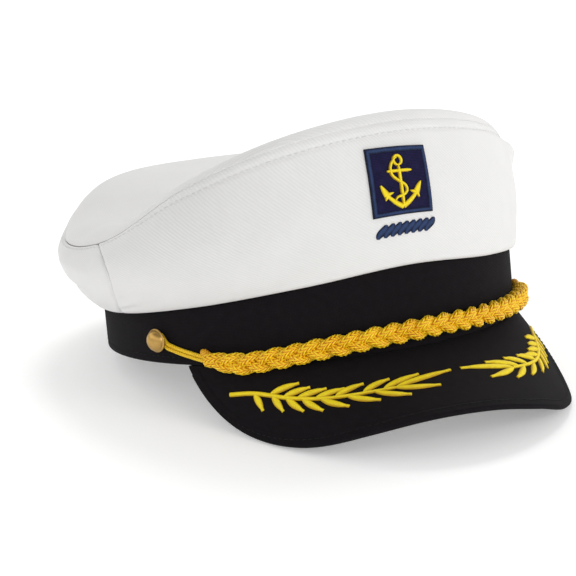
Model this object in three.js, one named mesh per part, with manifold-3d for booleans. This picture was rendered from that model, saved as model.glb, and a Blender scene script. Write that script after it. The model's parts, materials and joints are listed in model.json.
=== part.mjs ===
// Captain hat: a soft white crown over a black band, a curved visor, a plaited
// gold cord between two brass buttons, leaf sprigs on the visor and an anchor
// badge on the front. Millimetres, +Z up, front towards -Y, lowest point at z = 0.
import * as THREE from 'three';
import { mergeVertices } from 'three/addons/utils/BufferGeometryUtils.js';
import Module from 'manifold-3d';

const wasm = await Module();
wasm.setup();

// Driving sizes, millimetres and degrees
const bandLength = 195; // outside, front to back
const bandWidth = 191; // outside, side to side
const bandHeight = 41;
const bandWall = 3;
const crownRise = 64; // front of the crown, from its hem up to the top seam
const crownFlare = 22; // how far the fullest part of the crown stands out
const crownWall = 2.4; // twill with its interlining
const crownTurn = -5; // the crown is sewn on turned a little to its left
const panelSeamAngle = 88; // where the front and back panels meet, each side
const hemOverhang = 3; // the hem stands out this far from the band
const hemRoll = 1.4; // and its lower edge rolls back in this far
const tipMiddle = 0.42; // height of the top's middle, as a share of crownRise
const tipRollUp = 5; // the top puffs up this far just inside its seam
const tipRollIn = 11; // and this far in from it
const tipFrontPuff = 0.85; // over the stiff front it puffs up by this share more
const tipFrontAngle = 10; // angle where that is most
const tipFrontSpread = 55; // and how wide it is, in degrees
const visorReach = 52; // from the band to the visor's outer edge
const visorHalfAngle = 68.7; // from the visor's middle to each corner
const visorWall = 2.4;
const visorCorner = 0.45; // smaller is a squarer corner
const buttonWidth = 10.8;
const buttonDome = 4.2;
const shankWidth = 2.4;
const buttonAngle = 77.7;
const buttonUp = 11.2;
const strandWidth = 3.9; // one strand of the plait
const plaitSpread = 2.7; // how far a strand swings up and down
const plaitDepth = 1.3; // how far it swings in and out
const plaitTurns = 8; // full swings of each strand along the plait
const plaitEndAngle = 62;
const plainCordWidth = 1.6; // the plain cord that loops round each button
const badgeWidth = 30.6;
const badgeHeight = 30.6;
const badgeTurn = 0.6; // angle of the badge's middle
const badgeUp = 0.645; // middle of the badge, as a share of the way up the panel
const badgeWall = 1.2;
const badgeLean = 0.073; // mm sideways for each mm up, to stand straight on the turned crown
const badgeSlope = 0.062; // mm down for each mm across
const badgeEase = 0.0025; // mm sideways for each mm up and each mm across, as the crown tapers
const borderWidth = 2.5;
const borderWall = 1.7;
const anchorHeight = 22.9;
const anchorWall = 0.9;
const ropeBarWidth = 32.5;
const ropeBarHeight = 7;
const ropeBarDrop = 22.3; // from the badge's middle down to the rope bar's
const ropeBarAside = 1; // and sideways
const ropeBarSlope = 0.037; // mm up for each mm across
const ropeBarWall = 0.9;
const ropeBarTwists = 9;
const sprigStart = -60.2; // angle where the left stem begins
const sprigEnd = -1.7; // angle of its last leaf's point
const leafWidth = 3.7;
const leafHeight = 1.1;
const stemWidth = 2;
const clearance = 0.3; // between pieces that are sewn or laid together
const sectionTurn = 20 / 3; // degrees between two sections of the band or crown

// How the crown's sections run round the hat, every 30 degrees from the back.
// hem is a share of bandHeight. Outs are shares of crownFlare. Ups are shares
// of crownRise, counted from the hem.
const crownSections = [
  { angle: -180, hem: 0.5, bellyOut: 1.0, bellyUp: 0.34, seamOut: 0.83, seamUp: 0.74 },
  { angle: -150, hem: 0.5, bellyOut: 1.03, bellyUp: 0.35, seamOut: 0.84, seamUp: 0.72 },
  { angle: -120, hem: 0.5, bellyOut: 0.87, bellyUp: 0.31, seamOut: 0.72, seamUp: 0.48 },
  { angle: -90, hem: 0.52, bellyOut: 0.63, bellyUp: 0.31, seamOut: 0.23, seamUp: 0.535 },
  { angle: -60, hem: 0.65, bellyOut: 0.42, bellyUp: 0.38, seamOut: -0.14, seamUp: 0.84 },
  { angle: -30, hem: 0.81, bellyOut: 0.18, bellyUp: 0.45, seamOut: -0.19, seamUp: 0.995 },
  { angle: 0, hem: 0.92, bellyOut: 0.05, bellyUp: 0.475, seamOut: -0.4, seamUp: 0.99 },
  { angle: 30, hem: 0.81, bellyOut: 0.08, bellyUp: 0.5, seamOut: -0.26, seamUp: 0.98 },
  { angle: 60, hem: 0.7, bellyOut: 0.22, bellyUp: 0.475, seamOut: 0.01, seamUp: 0.83 },
  { angle: 90, hem: 0.59, bellyOut: 0.6, bellyUp: 0.28, seamOut: 0.36, seamUp: 0.49 },
  { angle: 120, hem: 0.5, bellyOut: 0.9, bellyUp: 0.29, seamOut: 0.7, seamUp: 0.49 },
  { angle: 150, hem: 0.5, bellyOut: 1.0, bellyUp: 0.34, seamOut: 0.83, seamUp: 0.69 },
];

// The visor from its left corner to its right one, at even steps. reach is a
// share of visorReach, drop is how steeply the visor falls, in degrees.
const visorSections = [
  { reach: 0.94, drop: 52 },
  { reach: 1.045, drop: 38.5 },
  { reach: 1.025, drop: 28.5 },
  { reach: 0.985, drop: 24.5 },
  { reach: 0.985, drop: 25.5 },
  { reach: 1.025, drop: 31 },
  { reach: 1.07, drop: 38 },
  { reach: 1.01, drop: 41.5 },
  { reach: 0.7, drop: 36.5 },
];

// Where the cord runs, from button to button. up is a share of bandHeight.
const cordStations = [
  { angle: -74, up: 0.21 },
  { angle: -68, up: 0.125 },
  { angle: -62, up: 0.09 },
  { angle: -52, up: 0.04 },
  { angle: -43, up: 0.075 },
  { angle: -30, up: 0.145 },
  { angle: -15, up: 0.195 },
  { angle: 0, up: 0.215 },
  { angle: 15, up: 0.195 },
  { angle: 30, up: 0.175 },
  { angle: 43, up: 0.165 },
  { angle: 52, up: 0.16 },
  { angle: 62, up: 0.165 },
  { angle: 68, up: 0.18 },
  { angle: 74, up: 0.22 },
];

// The stem of a sprig, from its start to its last leaf's base. along is a share
// of the sprig's angle, down is a share of visorReach.
const stemStations = [
  { along: 0, down: 0.31 },
  { along: 0.12, down: 0.33 },
  { along: 0.25, down: 0.435 },
  { along: 0.38, down: 0.505 },
  { along: 0.52, down: 0.525 },
  { along: 0.69, down: 0.52 },
];

// The leaves of a sprig. along is where the leaf leaves the stem, forward how
// much further along its point lies, down how far its point lies from its base.
const leafRows = [
  { along: 0.17, forward: 0.16, down: -0.1 },
  { along: 0.22, forward: 0.14, down: -0.075 },
  { along: 0.27, forward: 0.15, down: -0.065 },
  { along: 0.34, forward: 0.15, down: -0.07 },
  { along: 0.42, forward: 0.16, down: -0.12 },
  { along: 0.54, forward: 0.16, down: -0.14 },
  { along: 0.63, forward: 0.21, down: -0.14 },
  { along: 0.685, forward: 0.315, down: -0.12 },
  { along: 0.11, forward: -0.01, down: 0.2 },
  { along: 0.18, forward: 0.0, down: 0.195 },
  { along: 0.23, forward: 0.03, down: 0.19 },
  { along: 0.29, forward: 0.045, down: 0.185 },
  { along: 0.36, forward: 0.085, down: 0.16 },
  { along: 0.47, forward: 0.115, down: 0.13 },
  { along: 0.59, forward: 0.135, down: 0.125 },
  { along: 0.685, forward: 0.2, down: 0.065 },
];

// Colours and finishes
const finish = (color, roughness, metalness = 0) =>
  new THREE.MeshStandardMaterial({ color, roughness, metalness });
const whiteTwill = finish('#ececec', 0.85);
const blackCloth = finish('#17161a', 0.8);
const goldCord = finish('#e2a71f', 0.65);
const goldThread = finish('#e3c414', 0.45);
const navyCloth = finish('#1f1f48', 0.8);
const navyThread = finish('#32416e', 0.6);
const brass = finish('#b08a45', 0.25, 1);

const radians = THREE.MathUtils.degToRad;

// A smooth value through evenly spaced numbers: at counts in steps, and the
// run either closes on itself or levels out at its ends.
function smoothAt(values, at, closed) {
  const count = values.length;
  const first = Math.min(Math.floor(at), closed ? Infinity : count - 2);
  const share = at - first;
  const value = (step) => {
    const index = first + step;
    return values[closed ? ((index % count) + count) % count : Math.min(Math.max(index, 0), count - 1)];
  };
  const [before, from, to, after] = [-1, 0, 1, 2].map(value);
  const bend = 2 * before - 5 * from + 4 * to - after;
  const twist = 3 * (from - to) + after - before;
  return from + 0.5 * share * (to - before + share * (bend + share * twist));
}

const column = (rows, name) => rows.map((row) => row[name]);

// A point of the hat's oval: out from the band's outer face and up from its foot
function ovalPoint(angle, out, up, shrink = 1) {
  const turn = radians(angle);
  return new THREE.Vector3(
    shrink * (bandWidth / 2 + out) * Math.sin(turn),
    -shrink * (bandLength / 2 + out) * Math.cos(turn),
    up,
  );
}

// A closed solid from a list of corners and of triangles between them. Corners
// in one place are joined, and triangles that close up are dropped.
function solid(corners, triangles) {
  const shape = new THREE.BufferGeometry();
  shape.setAttribute('position', new THREE.Float32BufferAttribute(corners.flatMap((c) => c.toArray()), 3));
  shape.setIndex(triangles.flat());
  const joined = mergeVertices(shape, 1e-3);
  const index = Array.from(joined.index.array);
  const kept = [];
  for (let i = 0; i < index.length; i += 3) {
    const [a, b, c] = index.slice(i, i + 3);
    if (a !== b && b !== c && c !== a) kept.push(a, b, c);
  }
  joined.setIndex(kept);
  return joined;
}

// A cloth wall: surface(u, v) is its outer face, and it is walled inwards.
// snap moves a place to where its wall direction is read, such as a seam. A
// closed wall runs round in u, and a capped one ends in a point at its last v.
const asGiven = (u, v) => [u, v];

function clothWall(surface, us, vs, wall, choices = {}) {
  const { closed = false, capped = false, flip = false, snap = asGiven } = choices;
  const stepU = (0.02 * (us[us.length - 1] - us[0])) / us.length;
  const stepV = 0.004;
  const lastV = vs[vs.length - 1];
  const inward = (u, v) => {
    if (capped && v === lastV) return new THREE.Vector3(0, 0, -wall);
    const [su, sv] = snap(u, v);
    const alongU = surface(su + stepU, sv).sub(surface(su - stepU, sv));
    const alongV = surface(su, sv + stepV).sub(surface(su, sv - stepV));
    return alongU.cross(alongV).normalize().multiplyScalar(flip ? wall : -wall);
  };
  const outer = us.flatMap((u) => vs.map((v) => surface(u, v)));
  const inner = us.flatMap((u, i) => vs.map((v, j) => outer[i * vs.length + j].clone().add(inward(u, v))));
  const corners = [...outer, ...inner];
  const triangles = [];
  const quad = (a, b, c, d) => {
    if (flip) triangles.push([a, c, b], [a, d, c]);
    else triangles.push([a, b, c], [a, c, d]);
  };
  const under = outer.length;
  const rows = vs.length;
  const spans = closed ? us.length : us.length - 1;
  for (let i = 0; i < spans; i += 1) {
    const here = i * rows;
    const next = ((i + 1) % us.length) * rows;
    for (let j = 0; j < rows - 1; j += 1) {
      quad(here + j, next + j, next + j + 1, here + j + 1);
      quad(under + here + j, under + here + j + 1, under + next + j + 1, under + next + j);
    }
    quad(here, under + here, under + next, next);
    if (!capped) quad(here + rows - 1, next + rows - 1, under + next + rows - 1, under + here + rows - 1);
  }
  if (!closed) {
    const last = (us.length - 1) * rows;
    for (let j = 0; j < rows - 1; j += 1) {
      quad(j, j + 1, under + j + 1, under + j);
      quad(last + j, under + last + j, under + last + j + 1, last + j + 1);
    }
  }
  return solid(corners, triangles);
}

// Evenly spaced numbers, both ends included
const steps = (from, to, count) =>
  Array.from({ length: count + 1 }, (_, i) => from + ((to - from) * i) / count);

const roundSections = () => steps(-180, 180 - sectionTurn, 360 / sectionTurn - 1);

function toManifold(shape) {
  const bare = shape.clone();
  bare.deleteAttribute('normal');
  bare.deleteAttribute('uv');
  const joined = mergeVertices(bare, 1e-4);
  const vertProperties = new Float32Array(joined.attributes.position.array);
  const triVerts = new Uint32Array(joined.index.array);
  return new wasm.Manifold(new wasm.Mesh({ numProp: 3, vertProperties, triVerts }));
}

function fuse(shapes) {
  const whole = shapes.map(toManifold).reduce((all, one) => all.add(one));
  const mesh = whole.getMesh();
  const shape = new THREE.BufferGeometry();
  shape.setAttribute('position', new THREE.Float32BufferAttribute(Array.from(mesh.vertProperties), 3));
  shape.setIndex(Array.from(mesh.triVerts));
  return shape;
}

// Band
function bandShape() {
  const face = (angle, up) => ovalPoint(angle, 0, up * bandHeight);
  return clothWall(face, roundSections(), [0, 0.5, 1], bandWall, { closed: true });
}

// Crown. way runs from 0 at the hem to 1 at the top seam and 2 at the middle
// of the top, and angle is counted from the middle of the crown's own front.
const bellyShare = 0.55; // how far up the side panel its fullest part lies
const hemRollShare = 0.045; // how much of the side panel the hem's roll takes up
const tipFall = 1.8; // how the top falls from its seam to its middle

function crownSection(angle) {
  const at = (angle + 180) / 30;
  const value = (name) => smoothAt(column(crownSections, name), at, true);
  const hem = value('hem') * bandHeight;
  return {
    hem,
    bellyOut: value('bellyOut') * crownFlare,
    bellyUp: hem + value('bellyUp') * crownRise,
    seamOut: value('seamOut') * crownFlare,
    seamUp: hem + value('seamUp') * crownRise,
  };
}

const frontHem = crownSection(0).hem;
const tipMiddleUp = frontHem + tipMiddle * crownRise;

function crownPoint(angle, way) {
  const section = crownSection(angle);
  if (way <= 1) {
    const low = ((way - bellyShare) * (way - 1)) / bellyShare;
    const mid = (way * (way - 1)) / (bellyShare * (bellyShare - 1));
    const high = (way * (way - bellyShare)) / (1 - bellyShare);
    const roll = Math.min(Math.max(0, 1 - way / hemRollShare), 1);
    const tuck = hemRoll * (1 - Math.sqrt(1 - roll * roll));
    const out = hemOverhang * low + section.bellyOut * mid + section.seamOut * high - tuck;
    const up = section.hem * low + section.bellyUp * mid + section.seamUp * high;
    return ovalPoint(angle + crownTurn, out, up);
  }
  const inward = way - 1;
  const roll = (inward * bandLength) / 2 / tipRollIn;
  const turned = ((angle + 540) % 360) - 180;
  const front = Math.exp(-(((turned - tipFrontAngle) / tipFrontSpread) ** 2));
  const puff = tipRollUp * (1 + tipFrontPuff * front) * roll * Math.exp(1 - roll);
  const up = tipMiddleUp + (section.seamUp - tipMiddleUp) * (1 - inward) ** tipFall + puff;
  return ovalPoint(angle + crownTurn, section.seamOut, up, 1 - inward);
}

// The wall direction at a seam is read on the seam, so the cloth on both its
// sides is cut off square to the same face.
function crownSnap(angle, way) {
  const turned = ((angle + 180) % 360) - 180;
  const nearSeam = Math.abs(Math.abs(turned) - panelSeamAngle) < 1;
  const seamAngle = nearSeam ? Math.sign(turned) * panelSeamAngle : turned;
  return [seamAngle, Math.abs(way - 1) < 0.02 ? 1 : Math.max(way, 0.004)];
}

const panelWays = [0, 0.012, 0.045, 0.15, 0.32, 0.5, 0.68, 0.84];
const seamShare = clearance / 2 / crownRise; // half the seam's gap, as a way
const seamTurn = THREE.MathUtils.radToDeg(clearance / bandLength); // and as an angle

function crownPanel(from, to) {
  const angles = steps(from, to, Math.round((to - from) / sectionTurn));
  angles[0] += seamTurn;
  angles[angles.length - 1] -= seamTurn;
  return clothWall(crownPoint, angles, [...panelWays, 1 - seamShare], crownWall, { snap: crownSnap });
}

function crownTip() {
  const ways = [1 + seamShare, 1.05, 1.12, 1.25, 1.5, 2];
  return clothWall(crownPoint, roundSections(), ways, crownWall, {
    closed: true,
    capped: true,
    snap: crownSnap,
  });
}

// Visor. share runs from -1 at its left corner to 1 at its right one, out from
// 0 at the band to 1 at the outer edge. Below 0 it runs in under the band.
function visorValue(name, share) {
  const lastSection = visorSections.length - 1;
  const at = THREE.MathUtils.clamp(((share + 1) / 2) * lastSection, 0, lastSection);
  return smoothAt(column(visorSections, name), at, false);
}

const shortestReach = 1.5; // what is left of the visor at its very corners

function visorLength(share) {
  const corner = Math.max(0, 1 - share ** 6) ** visorCorner;
  return Math.max(visorValue('reach', share) * visorReach * corner, shortestReach);
}

function visorPoint(share, out) {
  const angle = share * visorHalfAngle;
  if (out < 0) return ovalPoint(angle, out * bandWall, -clearance);
  const drop = radians(visorValue('drop', share));
  return ovalPoint(angle, 0, -clearance).add(
    new THREE.Vector3(0, -Math.cos(drop), -Math.sin(drop)).multiplyScalar(out * visorLength(share)),
  );
}

const visorEdge = 0.999; // the corner's last section, just inside the corner

function visorShape() {
  const shares = steps(-90, 90, 32).map((turn) => visorEdge * Math.sin(radians(turn)));
  const outs = [-1, 0, 0.33, 0.66, 1];
  const read = (share, out) => [THREE.MathUtils.clamp(share, -0.985, 0.985), out === 0 ? 0.01 : out];
  return clothWall(visorPoint, shares, outs, visorWall, { flip: true, snap: read });
}

// A frame on the visor: a point of its upper face, and the face's own way up
function onVisor(angle, down) {
  const share = angle / visorHalfAngle;
  const out = down / visorLength(share);
  const point = visorPoint(share, out);
  const sideways = visorPoint(share + 0.002, out).sub(point);
  const outwards = visorPoint(share, out + 0.01).sub(point);
  return { point, up: outwards.cross(sideways).normalize() };
}

// A raised run of stitching along a path on a face. width and height give its
// size at a share of its length, and at gives a point and the way up there.
function raisedRun(at, width, height, count) {
  const corners = [];
  for (let i = 0; i <= count; i += 1) {
    const share = i / count;
    const { point, up } = at(share);
    const ahead = at(Math.min(share + 0.01, 1)).point;
    const behind = at(Math.max(share - 0.01, 0)).point;
    const side = ahead.sub(behind).normalize().cross(up).multiplyScalar(width(share) / 2);
    const foot = point.clone().addScaledVector(up, clearance);
    const crest = foot.clone().addScaledVector(up, height(share));
    corners.push(foot.clone().sub(side), crest, foot.clone().add(side));
  }
  const triangles = [[0, 2, 1]];
  for (let i = 0; i < count; i += 1) {
    for (let j = 0; j < 3; j += 1) {
      const [a, b] = [3 * i + j, 3 * i + ((j + 1) % 3)];
      triangles.push([a, b, a + 3], [b, b + 3, a + 3]);
    }
  }
  triangles.push([3 * count, 3 * count + 1, 3 * count + 2]);
  return solid(corners, triangles);
}

// Sprig: side is 1 for the left one, and -1 mirrors it to the right
function sprigShape(side) {
  const sweep = sprigEnd - sprigStart;
  const angleAt = (along) => sprigStart + along * sweep;
  const stemDown = (along) => {
    const places = column(stemStations, 'along');
    const next = Math.max(1, places.findIndex((place) => place >= along - 1e-9));
    const share = (along - places[next - 1]) / (places[next] - places[next - 1]);
    return smoothAt(column(stemStations, 'down'), next - 1 + share, false) * visorReach;
  };
  const stemEnd = stemStations[stemStations.length - 1].along;
  const stem = raisedRun(
    (share) => onVisor(side * angleAt(share * stemEnd), stemDown(share * stemEnd)),
    () => stemWidth,
    () => leafHeight,
    14,
  );
  const leaves = leafRows.map((leaf) => {
    const base = stemDown(leaf.along);
    const at = (share) =>
      onVisor(side * angleAt(leaf.along + share * leaf.forward), base + share * leaf.down * visorReach);
    const swell = (share) => Math.max(Math.sin(Math.PI * share ** 0.8), 0.12);
    const wide = (share) => leafWidth * swell(share);
    const high = (share) => leafHeight * swell(share) ** 0.5;
    return raisedRun(at, wide, high, 3);
  });
  return fuse([stem, ...leaves]);
}

// Cord. The plait lies on the band, and where it hangs low it is pushed out
// until it clears the visor under it.
const plaitHalfHeight = plaitSpread + strandWidth / 2;
const plaitHalfDepth = plaitDepth + strandWidth / 2;

function cordUp(angle) {
  const places = column(cordStations, 'angle');
  const last = places.length - 1;
  const held = THREE.MathUtils.clamp(angle, places[0], places[last]);
  const next = Math.max(1, places.findIndex((place) => place >= held - 1e-9));
  const share = (held - places[next - 1]) / (places[next] - places[next - 1]);
  return smoothAt(column(cordStations, 'up'), next - 1 + share, false) * bandHeight;
}

function plaitOut(angle, up) {
  const onBand = plaitHalfDepth + clearance;
  const lean = onVisor(THREE.MathUtils.clamp(angle, -67, 67), 2).up;
  const flat = Math.hypot(lean.x, lean.y);
  const room = Math.hypot(plaitHalfDepth * flat, plaitHalfHeight * lean.z) + 2 * clearance;
  return Math.max(onBand, (room - (up + clearance) * lean.z) / flat);
}

function cordSection(width, sides) {
  const ring = steps(0, sides - 1, sides - 1).map((i) => {
    const turn = (2 * Math.PI * i) / sides;
    return new THREE.Vector2((Math.cos(turn) * width) / 2, (Math.sin(turn) * width) / 2);
  });
  return new THREE.Shape(ring);
}

function cordTube(points, width, sides, stepCount) {
  const path = new THREE.CatmullRomCurve3(points, false, 'centripetal');
  return new THREE.ExtrudeGeometry(cordSection(width, sides), { steps: stepCount, extrudePath: path });
}

function plaitStrand(phase) {
  const count = plaitTurns * 5;
  const points = steps(0, 1, count).map((share) => {
    const angle = -plaitEndAngle + share * 2 * plaitEndAngle;
    const swing = 2 * Math.PI * (share * plaitTurns + phase);
    const ease = Math.min(1, 0.25 + 12 * Math.min(share, 1 - share));
    const up = cordUp(angle);
    const out = plaitOut(angle, up) + plaitDepth * ease * Math.sin(2 * swing);
    return ovalPoint(angle, out, up + plaitSpread * ease * Math.sin(swing));
  });
  return cordTube(points, strandWidth, 4, count);
}

// The plain cord leaves the plait doubled and loops round the button's shank
function cordLoop(side) {
  const low = clearance + plainCordWidth / 2;
  const loop = (shankWidth + plainCordWidth) / 2 + clearance;
  const degreesPerMillimetre = 360 / (Math.PI * (bandLength + 2 * low));
  const inPlait = plaitEndAngle - 4;
  const run = (pair) =>
    steps(0, 1, 5).map((share) => {
      const angle = inPlait + share * (buttonAngle - 3 - inPlait);
      const up = share < 1 ? cordUp(side * angle) : buttonUp;
      const plaitFace = plaitOut(side * inPlait, cordUp(side * inPlait));
      const out = low + (plaitFace - low) * Math.max(0, 1 - 2 * share) ** 1.5;
      const spread = plainCordWidth / 2 + (loop - plainCordWidth / 2) * share ** 6;
      return ovalPoint(side * angle, out, up + pair * spread);
    });
  const bend = steps(90, -90, 6).map((turn) => {
    const ahead = loop * Math.cos(radians(turn)) * degreesPerMillimetre;
    return ovalPoint(side * (buttonAngle + ahead), low, buttonUp + loop * Math.sin(radians(turn)));
  });
  return cordTube([...run(1), ...bend, ...run(-1).reverse()], plainCordWidth, 4, 26);
}

function cordShape() {
  return fuse([...[0, 1 / 3, 2 / 3].map(plaitStrand), cordLoop(-1), cordLoop(1)]);
}

// Button: a brass dome on a shank, its foot on the band
function buttonShape() {
  const foot = clearance;
  const underside = foot + plainCordWidth + clearance;
  const half = buttonWidth / 2;
  const dome = steps(0, 90, 5).map((turn) => {
    const rim = radians(turn);
    return new THREE.Vector2(half * Math.cos(rim), underside + 0.8 + (buttonDome - 0.8) * Math.sin(rim));
  });
  dome[dome.length - 1].x = 0;
  const profile = [
    new THREE.Vector2(0, foot),
    new THREE.Vector2(shankWidth / 2, foot),
    new THREE.Vector2(shankWidth / 2, underside),
    new THREE.Vector2(half - 0.5, underside),
    ...dome,
  ];
  return closedLathe(profile, 12);
}

function closedLathe(profile, sides) {
  const turned = new THREE.LatheGeometry(profile, sides);
  turned.deleteAttribute('normal');
  turned.deleteAttribute('uv');
  const place = turned.attributes.position;
  const corners = [];
  for (let i = 0; i < place.count; i += 1) corners.push(new THREE.Vector3().fromBufferAttribute(place, i));
  const index = Array.from(turned.index.array);
  const triangles = [];
  for (let i = 0; i < index.length; i += 3) triangles.push(index.slice(i, i + 3));
  return solid(corners, triangles);
}

// Badge and rope bar. across and up are millimetres from the badge's middle,
// laid on the crown's front, and lift is how far a point stands off the cloth.
function onCrown(across, up, lift) {
  const wayStep = 0.01;
  const middle = crownPoint(badgeTurn, badgeUp);
  const perWay = crownPoint(badgeTurn, badgeUp + wayStep).sub(middle).length() / wayStep;
  const perDegree = crownPoint(badgeTurn + 1, badgeUp).sub(middle).length();
  const slanted = across + up * badgeLean + across * up * badgeEase;
  const angle = badgeTurn + slanted / perDegree;
  const way = badgeUp + (up - across * badgeSlope) / perWay;
  const point = crownPoint(angle, way);
  const sideways = crownPoint(angle + 0.5, way).sub(point);
  const upwards = crownPoint(angle, way + wayStep).sub(point);
  return point.addScaledVector(sideways.cross(upwards).normalize(), lift);
}

// Lays a flat shape, extruded from z = 0, on the crown's front
function layOnCrown(shape, lift) {
  const place = shape.attributes.position;
  for (let i = 0; i < place.count; i += 1) {
    const point = onCrown(place.getX(i), place.getY(i), lift + place.getZ(i));
    place.setXYZ(i, point.x, point.y, point.z);
  }
  return shape;
}

function badgePatch() {
  const halfWidth = badgeWidth / 2 - borderWidth - clearance;
  const halfHeight = badgeHeight / 2 - borderWidth - clearance;
  const face = (across, up) => onCrown(across * halfWidth, up * halfHeight, clearance + badgeWall);
  return clothWall(face, steps(-1, 1, 6), steps(-1, 1, 4), badgeWall);
}

function badgeBorder() {
  const corner = (index) => [[-1, -1], [1, -1], [1, 1], [-1, 1]][index % 4];
  const perSide = 5;
  const face = (around, outward) => {
    const turn = ((around % 4) + 4) % 4;
    const [from, to] = [corner(Math.floor(turn)), corner(Math.floor(turn) + 1)];
    const share = turn - Math.floor(turn);
    const inset = borderWidth * (1 - outward);
    const across = (from[0] + (to[0] - from[0]) * share) * (badgeWidth / 2 - inset);
    const up = (from[1] + (to[1] - from[1]) * share) * (badgeHeight / 2 - inset);
    return onCrown(across, up, clearance + borderWall);
  };
  const arounds = steps(0, 4 - 1 / perSide, 4 * perSide - 1);
  const read = (around, outward) => [Math.round(around - 0.5) + 0.5, outward];
  return clothWall(face, arounds, [0, 1], borderWall, { closed: true, flip: true, snap: read });
}

// The anchor: shank, stock, ring, arms with flukes, and a rope wound round it
function anchorShape() {
  const unit = anchorHeight / 22.9; // the numbers below are millimetres on a 22.9 mm anchor
  const plate = (points) => {
    const outline = new THREE.Shape(points.map(([x, y]) => new THREE.Vector2(x * unit, y * unit)));
    return new THREE.ExtrudeGeometry(outline, { depth: anchorWall, bevelEnabled: false });
  };
  const ribbon = (path, width) => {
    const normal = (i) => {
      const [before, after] = [path[Math.max(i - 1, 0)], path[Math.min(i + 1, path.length - 1)]];
      const long = Math.hypot(after[0] - before[0], after[1] - before[1]);
      return [-(after[1] - before[1]) / long, (after[0] - before[0]) / long];
    };
    const edge = (sign) =>
      path.map(([x, y], i) => {
        const [across, along] = normal(i);
        return [x + (sign * width * across) / 2, y + (sign * width * along) / 2];
      });
    return plate([...edge(-1), ...edge(1).reverse()]);
  };
  const arc = (x, y, radius, from, to, count) =>
    steps(from, to, count).map((turn) => {
      const angle = radians(turn);
      return [x + radius * Math.cos(angle), y + radius * Math.sin(angle)];
    });
  const shank = plate([[-1, -10], [0.4, -10], [0.3, 7.2], [-0.9, 7.2]]);
  const stock = plate([[-6.4, 4.3], [5.6, 4.3], [5.6, 5.6], [-6.4, 5.6]]);
  const circle = (radius) => {
    const round = arc(-0.3, 9.4, radius, 0, 330, 11);
    return round.map(([x, y]) => new THREE.Vector2(x * unit, y * unit));
  };
  const eye = new THREE.Shape(circle(2.4));
  eye.holes.push(new THREE.Path(circle(1.4)));
  const ring = new THREE.ExtrudeGeometry(eye, { depth: anchorWall, bevelEnabled: false });
  const arms = ribbon(arc(-0.3, -2.2, 8.1, 197, 343, 12), 1.8);
  const flukes = [-1, 1].map((side) => plate([[side * 10, -0.6], [side * 4.4, -4.3], [side * 8.2, -7.5]]));
  const sway = (share) => -0.8 - 3.8 * Math.sin(share * 1.9 * Math.PI);
  const rope = steps(0, 1, 14).map((share) => [sway(share), 9.8 - 16.5 * share]);
  const flat = fuse([shank, stock, ring, arms, ...flukes, ribbon(rope, 0.9)]);
  return layOnCrown(flat, 2 * clearance + badgeWall);
}

// A twisted rope, stitched flat, below the badge
function ropeBar() {
  const waist = 0.74; // height between two twists, as a share of the full height
  const face = (share, side) => {
    const twist = Math.abs(Math.sin(Math.PI * (share * ropeBarTwists + side / 4)));
    const half = (ropeBarHeight / 2) * (waist + (1 - waist) * twist);
    const across = (share - 0.5) * ropeBarWidth;
    const up = side * half - ropeBarDrop + across * ropeBarSlope;
    return onCrown(ropeBarAside + across, up, clearance + ropeBarWall);
  };
  return clothWall(face, steps(0, 1, ropeBarTwists * 3), [-1, 0, 1], ropeBarWall);
}

// Assembly
const hat = new THREE.Group();

function add(name, shape, material) {
  const piece = new THREE.Mesh(shape, material);
  piece.name = name;
  hat.add(piece);
  return piece;
}

add('crown_front_panel', crownPanel(-panelSeamAngle, panelSeamAngle), whiteTwill);
add('crown_back_panel', crownPanel(panelSeamAngle, 360 - panelSeamAngle), whiteTwill);
add('crown_tip', crownTip(), whiteTwill);
add('band', bandShape(), blackCloth);
const visor = add('visor', visorShape(), blackCloth);
add('plaited_cord', cordShape(), goldCord);
add('sprig_left', sprigShape(1), goldThread);
add('sprig_right', sprigShape(-1), goldThread);
add('badge_patch', badgePatch(), navyCloth);
add('badge_border', badgeBorder(), navyThread);
add('anchor', anchorShape(), goldThread);
add('rope_bar', ropeBar(), navyThread);

for (const [name, side] of [['button_left', -1], ['button_right', 1]]) {
  const button = add(name, buttonShape(), brass);
  const foot = ovalPoint(side * buttonAngle, 0, buttonUp);
  const outwards = ovalPoint(side * buttonAngle, 1, buttonUp).sub(foot).normalize();
  button.position.copy(foot);
  button.quaternion.setFromUnitVectors(new THREE.Vector3(0, 1, 0), outwards);
}

// The hat rests on the back of its band and on the visor's two low points
function restingTilt() {
  const place = visor.geometry.attributes.position;
  let tilt = 0;
  for (let i = 0; i < place.count; i += 1) {
    tilt = Math.max(tilt, Math.atan2(-place.getZ(i), bandLength / 2 - place.getY(i)));
  }
  return tilt;
}

hat.rotation.x = -restingTilt();
hat.updateMatrixWorld(true);
const box = new THREE.Box3().setFromObject(hat, true);
const middle = box.getCenter(new THREE.Vector3());
hat.position.set(-middle.x, -middle.y, -box.min.z);
hat.updateMatrixWorld(true);

const captainHat = new THREE.Group();
captainHat.add(hat);
export default captainHat;
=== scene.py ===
import json
import math

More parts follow.
